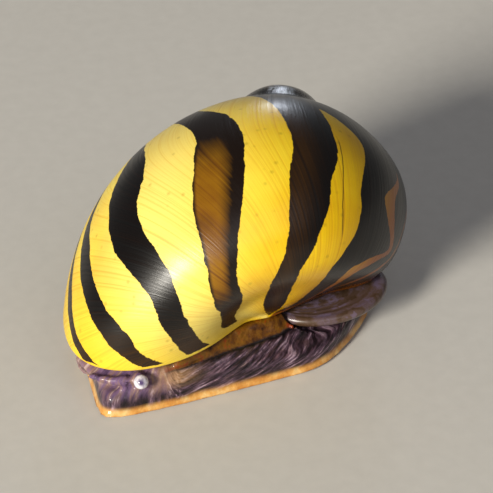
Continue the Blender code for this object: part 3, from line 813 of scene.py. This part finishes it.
def foldSkin(plan, mesh):
    # raises folds, creases, lips and the mantle's rolled edge, and notes where the colours lie
    points = meshPoints(mesh)
    normals = np.array([vert.normal for vert in mesh.vertices])
    height = points[:, 2]        # follows the points when they are moved
    outer = height < plan["lip"]
    away = points[:, :2] - np.array(plan["middle"])
    girth = np.abs(np.arctan2(away[:, 0], -away[:, 1])) * plan["girth"]
    head = 1 - ease(points[:, 1], *plan["headBehind"])
    flank = (1 - head) * outer
    broad = rumple(points, *plan["broad"])
    patchy = rumple(points, *plan["patchy"])
    across = (plan["top"] - height) * plan["slope"] + plan["foldLean"] * girth
    phase = across / plan["foldSpacing"] + broad * plan["foldWander"]
    depth, change = plan["foldPatches"]
    folds = (np.abs(np.sin(math.pi * phase)) - plan["foldSunk"]) * (depth + change * patchy)
    rise = plan["foldDepth"] * folds * flank * within(height, *plan["foldHeight"])
    phase = girth / plan["creaseSpacing"] + broad * plan["creaseWander"]
    creases = np.abs(np.sin(math.pi * phase)) - plan["creaseSunk"]
    cheek = head * within(height, *plan["creaseHeight"]) * outer
    aside = np.abs(points[:, 0] - plan["mouthMiddle"])
    overMouth = height - np.interp(aside, plan["mouthAcross"], plan["mouthHeight"])
    face = (1 - ease(points[:, 1], *plan["faceBefore"])) * (1 - ease(aside, *plan["faceHalf"]))
    face *= outer
    rise += plan["creaseDepth"] * creases * cheek * (1 - plan["faceSmooth"] * face)
    for above, half, lift in (plan["mouthLine"], *plan["lips"]):
        rise += lift * hill(overMouth, above, half) * face
    for middle, half, lift in (plan["rolledEdge"], plan["edgeGroove"]):
        roll = lift * hill(height, middle + plan["edgeWander"] * broad, half)
        rise += roll * (1 + plan["edgePatches"] * patchy) * flank
    rise += plan["marginDepth"] * broad * within(height, *plan["marginHeight"])
    for place, _, radius in eyePlaces():
        near = np.linalg.norm(points - np.array(place) / mm, axis=1) - radius / mm
        rise *= ease(near, *plan["eyeClear"])
    points += normals * rise[:, None]
    # draws the top up to the shell, so that no slit shows between them
    highest = plan["lip"] - plan["slit"]
    share = (highest - plan["drawnFrom"]) / (plan["top"] - plan["drawnFrom"])
    drawn = np.minimum(plan["drawnFrom"] + (height - plan["drawnFrom"]) * share, highest)
    upper = (height > plan["drawnFrom"]) & outer
    points[:, 2] = np.maximum(height + np.where(upper, np.maximum(drawn - height, 0), 0), 0)
    mesh.vertices.foreach_set("co", (points * mm).ravel())
    mesh.update()
    olive = ease(height, *plan["oliveFrom"]) * ease(points[:, 1], *plan["oliveBehind"])
    tawny = hill(points[:, 1], plan["tawnyMiddle"], plan["tawnyHalf"])
    setValues(mesh, {
        "foldAcross": across * (1 - head) + girth * head,
        "foldAlong": (girth * (1 - head) + height * head) * plan["streakSquash"],
        "cream": 1 - ease(height + plan["creamWave"] * broad, *plan["creamTop"]),
        "orange": 1 - ease(height + plan["orangeWave"] * broad, *plan["orangeTop"]),
        "olive": olive * outer,
        # painted shade: darker the deeper the skin is sunk into folds, creases and the mouth line
        "hollow": np.clip(-rise / plan["foldShadeDepth"], 0, 1),
        "lips": plan["lipsShare"] * hill(overMouth, 0, plan["lipsHalf"]) * face,
        "sole": ease(-normals[:, 2], *plan["soleFacing"]) * (1 - ease(height, *plan["soleTop"])),
        "cheek": head * ease(height, *plan["cheekFrom"]),
        "tawny": plan["tawnyShare"] * tawny * ease(height, *plan["tawnyFrom"]) * outer,
    })


# each tone follows the pigment's streaks along the folds, or its mottling
skinTones = {
    "flank": ("streak", ((0.32, "#0F0A0C"), (0.46, "#33262B"), (0.57, "#645059"),
                         (0.68, "#B6A4A6"))),
    "violet": ("mottle", ((0.35, "#64463A"), (0.50, "#8C7A9C"), (0.66, "#C4B0C0"))),
    "cheek": ("streak", ((0.32, "#43304A"), (0.46, "#72587C"), (0.57, "#8A6C62"),
                         (0.68, "#CBB4BC"))),
    "tawny": ("streak", ((0.32, "#80603E"), (0.50, "#A07A54"), (0.68, "#B49476"))),
    "lips": ("mottle", ((0.36, "#7E5E5A"), (0.62, "#B89A8A"))),
    "olive": ("mottle", ((0.36, "#2A1202"), (0.47, "#5A3402"), (0.55, "#6E4806"),
                         (0.64, "#7E3006"))),
    "cream": ("mottle", ((0.34, "#BE7E36"), (0.50, "#D49C52"), (0.66, "#E2BC7C"))),
    "orange": ("mottle", ((0.34, "#8E4A16"), (0.66, "#C27A34"))),
    "sole": ("mottle", ((0.34, "#8E7C6C"), (0.50, "#BCA488"), (0.66, "#D6C4A6"))),
}
# laid over the violet-stained flank in this order, each where its attribute says; the layer for
# sunken folds, creases and the mouth line is painted shade
skinLayers = ("cheek", "tawny", "lips", "hollow", "olive", "cream", "orange", "sole")


def skinMaterial():
    # bare mucus-covered skin: dark pigment in lengthwise streaks under a clear wet film
    made, tree, shader = newMaterial("mucus-covered snail skin", {
        "IOR": 1.36, "Roughness": 0.42,
        "Coat Weight": 0.5, "Coat Roughness": 0.12, "Coat IOR": 1.33,
    })
    here = {name: addNode(tree, "ShaderNodeAttribute", {"attribute_name": name}).outputs["Fac"]
            for name in ("foldAcross", "foldAlong", *skinLayers)}
    place = addNode(tree, "ShaderNodeTexCoord").outputs["Object"]
    foldSpace = addNode(tree, "ShaderNodeCombineXYZ", None, {
        "X": here["foldAcross"], "Y": here["foldAlong"]}).outputs[0]
    # streaks 0.35 mm wide and about six times as long, and mottling of about 1 mm
    streak = addNode(tree, "ShaderNodeTexNoise", None, {
        "Vector": foldSpace, "Scale": 2.9, "Detail": 4.0, "Roughness": 0.6}).outputs["Fac"]
    mottle = addNode(tree, "ShaderNodeTexNoise", None, {
        "Vector": place, "Scale": 950.0, "Detail": 5.0, "Roughness": 0.6}).outputs["Fac"]
    sources = {"streak": streak, "mottle": mottle}
    tones = {name: addNode(tree, "ShaderNodeValToRGB", {"stops": stops},
                           {"Fac": sources[kind]}).outputs["Color"]
             for name, (kind, stops) in skinTones.items()}
    # painted shade: near-black laid in the sunken folds
    tones["hollow"] = "#0C080C"
    base = addNode(tree, "ShaderNodeMix", {"data_type": "RGBA", "blend_type": "OVERLAY"},
                   {0: 0.55, 6: tones["flank"], 7: tones["violet"]}).outputs[2]
    for name in skinLayers:
        base = addNode(tree, "ShaderNodeMix", {"data_type": "RGBA"},
                       {0: here[name], 6: base, 7: tones[name]}).outputs[2]
    tree.links.new(base, shader.inputs["Base Color"])
    # the film's ripples, 0.4 mm apart
    ripple = addNode(tree, "ShaderNodeTexNoise", None, {
        "Vector": place, "Scale": 2500.0, "Detail": 4.0}).outputs["Fac"]
    both = addNode(tree, "ShaderNodeMath", {"operation": "ADD"}, {0: ripple, 1: streak})
    bump = addNode(tree, "ShaderNodeBump", None,
                   {"Height": both.outputs[0], "Strength": 0.7, "Distance": 0.09 * mm})
    tree.links.new(bump.outputs["Normal"], shader.inputs["Normal"])
    return made


def buildSkin(plan):
    mesh = fusedSkin(plan)
    foldSkin(plan, mesh)
    return addPiece("snail_skin", mesh, skinMaterial(), "skin", *plan["nodes"])


buildSkin(skin)
print("skin fused")

operculum = {
    "length": 9.0,
    "width": 5.6,
    "outerShare": 0.62,          # share of the width on the rounder side
    "thickness": 0.75,
    "middle": (1.968, 6.118, 2.78),
    "turn": 18.0,
    "tilt": 3.0,
    "around": 96,
    # edge and top, from below: height and inset as shares of the thickness
    "edge": ((-0.5, 0.9), (-0.47, 0.42), (-0.36, 0.16), (-0.18, 0.03), (0.0, 0.0),
             (0.18, 0.03), (0.36, 0.16), (0.45, 0.38)),
    "arcs": 9,                   # growth arcs round the nucleus near the inner end
    "arcSteps": 4,
    "arcHeight": 0.012,
    "nucleus": (-0.9, -2.2),
    "crown": 0.02,
}


def plateEdge(plan, angle, inset):
    share = plan["outerShare"] if math.cos(angle) > 0 else 1 - plan["outerShare"]
    wide, long = plan["width"] * share - inset, plan["length"] / 2 - inset
    return Vector((math.cos(angle) * wide, math.sin(angle) * long, 0))


def buildOperculum(plan):
    bm = bmesh.new()
    angleLayer = bm.verts.layers.float.new("angle")
    arcLayer = bm.verts.layers.float.new("arc")
    bmesh.ops.create_circle(bm, cap_ends=True, radius=1.0, segments=plan["around"])
    rings = [(height * plan["thickness"], inset * plan["thickness"], 1.0)
             for height, inset in plan["edge"]]
    top, topInset, _ = rings[-1]
    steps = plan["arcs"] * plan["arcSteps"]
    for number in range(1, steps):
        wave = plan["arcHeight"] * math.cos(2 * math.pi * plan["arcs"] * number / steps)
        height = top + plan["crown"] + wave - plan["arcHeight"]
        rings.append((height, topInset, 1 - number / steps))
    nucleus = Vector((*plan["nucleus"], 0))
    for vert in bm.verts:
        vert[angleLayer] = math.atan2(vert.co.y, vert.co.x)
    end = bm.faces[:][0]
    for number, (height, inset, size) in enumerate(rings):
        if number:
            made = bmesh.ops.extrude_face_region(bm, geom=[end])["geom"]
            if number > 1:
                bmesh.ops.delete(bm, geom=[end], context="FACES_ONLY")
            end = [item for item in made if isinstance(item, bmesh.types.BMFace)][0]
        for vert in end.verts:
            outer = plateEdge(plan, vert[angleLayer], inset)
            vert.co = nucleus + (outer - nucleus) * size + Vector((0, 0, height))
            vert[arcLayer] = size
    bmesh.ops.triangulate(bm, faces=[face for face in bm.faces if len(face.verts) > 4])
    turn = Matrix.Rotation(math.radians(plan["turn"]), 4, "Z")
    tilt = Matrix.Rotation(math.radians(plan["tilt"]), 4, "Y")
    place = Matrix.Translation(Vector(plan["middle"]) * mm)
    bm.transform(place @ turn @ tilt @ Matrix.Scale(mm, 4))
    bmesh.ops.recalc_face_normals(bm, faces=bm.faces)
    mesh = meshFrom(bm, "operculum")
    return addPiece("operculum_plate", mesh, operculumMaterial(), "operculum", "operculum")


def operculumMaterial():
    # limy plate laid down in arcs: smooth, dense and wet, grey-violet with browner bands
    made, tree, shader = newMaterial("limy operculum laid down in arcs", {
        "IOR": 1.5, "Roughness": 0.34,
        "Coat Weight": 0.35, "Coat Roughness": 0.18, "Coat IOR": 1.33,
    })
    place = addNode(tree, "ShaderNodeTexCoord").outputs["Object"]
    arc = addNode(tree, "ShaderNodeAttribute", {"attribute_name": "arc"}).outputs["Fac"]
    cloud = addNode(tree, "ShaderNodeTexNoise", None, {
        "Vector": place, "Scale": 520.0, "Detail": 4.0}).outputs["Fac"]
    arcSpace = addNode(tree, "ShaderNodeCombineXYZ", None, {"X": arc, "Y": cloud})
    bands = addNode(tree, "ShaderNodeTexNoise", None, {
        "Vector": arcSpace.outputs[0], "Scale": 9.0, "Detail": 3.0}).outputs["Fac"]
    tone = addNode(tree, "ShaderNodeValToRGB", {
        "stops": ((0.30, "#4E3820"), (0.50, "#644E44"), (0.68, "#7C6A80"))}, {"Fac": bands})
    base = addNode(tree, "ShaderNodeMix", {"data_type": "RGBA", "blend_type": "MULTIPLY"},
                   {0: 0.5, 6: tone.outputs["Color"], 7: cloud}).outputs[2]
    tree.links.new(base, shader.inputs["Base Color"])
    bump = addNode(tree, "ShaderNodeBump", None, {
        "Height": bands, "Strength": 0.3, "Distance": 0.03 * mm})
    tree.links.new(bump.outputs["Normal"], shader.inputs["Normal"])
    return made


buildOperculum(operculum)
print("operculum built")

eyeLook = {
    "axis": (83.0, 28.0),        # bearing and elevation of the left pupil
    "around": 56,
    "along": 36,
    "pupil": (0.08, 0.34),       # mm from the axis over which the dark pupil ends
}


def eyeMaterial(name, place, side):
    # clear cornea over a violet-grey pupil, with a painted highlight: a pale ring round the pupil
    # that stands in for the eye's bright wet glint
    made, tree, shader = newMaterial("wet cornea " + name, {
        "IOR": 1.37, "Roughness": 0.12,
        "Coat Weight": 1.0, "Coat Roughness": 0.03, "Coat IOR": 1.34,
    })
    # the right pupil mirrors the left one
    axis = compass(*eyeLook["axis"]) * np.array((side, 1, 1))
    around = addNode(tree, "ShaderNodeTexCoord").outputs["Object"]
    fromEye = addNode(tree, "ShaderNodeVectorMath", {"operation": "SUBTRACT"},
                      {0: around, 1: tuple(place)}).outputs[0]
    crossed = addNode(tree, "ShaderNodeVectorMath", {"operation": "CROSS_PRODUCT"},
                      {0: fromEye, 1: tuple(axis)}).outputs[0]
    offAxis = addNode(tree, "ShaderNodeVectorMath", {"operation": "LENGTH"}, {0: crossed})
    low, high = eyeLook["pupil"]
    ring = addNode(tree, "ShaderNodeMapRange", {"interpolation_type": "SMOOTHSTEP"}, {
        "Value": offAxis.outputs["Value"], "From Min": low * mm, "From Max": high * mm})
    cloud = addNode(tree, "ShaderNodeTexNoise", None, {
        "Vector": around, "Scale": 3200.0, "Detail": 3.0}).outputs["Fac"]
    # painted highlight: the pale tone round the pupil stands in for the eye's wet glint
    pale = addNode(tree, "ShaderNodeValToRGB", {
        "stops": ((0.35, "#A8A2B4"), (0.60, "#E2DEE8"))}, {"Fac": cloud})
    base = addNode(tree, "ShaderNodeMix", {"data_type": "RGBA"},
                   {0: ring.outputs["Result"], 6: "#54456C", 7: pale.outputs["Color"]}).outputs[2]
    tree.links.new(base, shader.inputs["Base Color"])
    return made


def buildEye(plan, name, node, place, side, radius):
    bm = bmesh.new()
    bmesh.ops.create_uvsphere(
        bm, u_segments=plan["around"], v_segments=plan["along"], radius=radius,
        matrix=Matrix.Translation(place)
    )
    return addPiece(name, meshFrom(bm, name), eyeMaterial(name, place, side), "eye", node)


eyeNames = (("left_eye", "eye_left"), ("right_eye", "eye_right"))
for (name, node), (place, side, radius) in zip(eyeNames, eyePlaces()):
    buildEye(eyeLook, name, node, place, side, radius)
print("eyes built")
